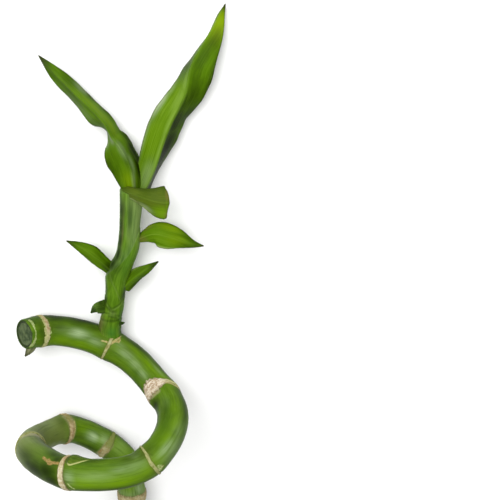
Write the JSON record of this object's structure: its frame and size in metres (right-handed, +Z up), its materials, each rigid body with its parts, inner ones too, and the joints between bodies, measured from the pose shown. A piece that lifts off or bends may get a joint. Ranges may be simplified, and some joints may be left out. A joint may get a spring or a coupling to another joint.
{
  "type": "lucky bamboo",
  "caption": "Cut lucky bamboo cane wound in a spiral, with ringed joints and a leafy shoot on its top stretch, lying down.",
  "frame": {"origin": "middle of the part's box at its underside, on the surface that the plant lies on", "axes": "+Y runs along the plant from the lower cut end to the leaf tips, +X is the plant's right as seen from its front, and +Z is up, out of the plant's front"},
  "size_m": [0.1216, 0.3884, 0.0963],
  "materials": {
    "cane": "waxy green skin, smooth and fairly glossy",
    "ring": "dry, tan, matt sheath scar",
    "cut": "dried grey-green cut face, matt",
    "stem": "soft green, satin, streaked along its length",
    "bud": "yellow-green, satin",
    "leaf": "waxy green, satin, with fine veins along it",
    "curled_leaf": "olive green, satin",
    "dry": "dry, grey-tan, matt"
  },
  "bodies": {
    "root": {"cane": "cane", "ring_top": "ring", "ring_shoot": "ring", "ring_broad": "ring", "ring_right": "ring", "ring_front": "ring", "ring_left": "ring", "ring_back": "ring", "ring_hidden": "ring", "ring_straight": "ring", "ring_foot": "ring", "cut_face": "cut", "shoot_stem": "stem", "bud": "bud", "dry_scrap": "dry", "leaf_big_right": "leaf", "leaf_big_left": "leaf", "leaf_curled": "curled_leaf", "leaf_right_upper": "leaf", "leaf_right_lower": "leaf", "leaf_left_lower": "leaf", "bract_left": "stem", "bract_right": "stem"}
  },
  "joints": []
}
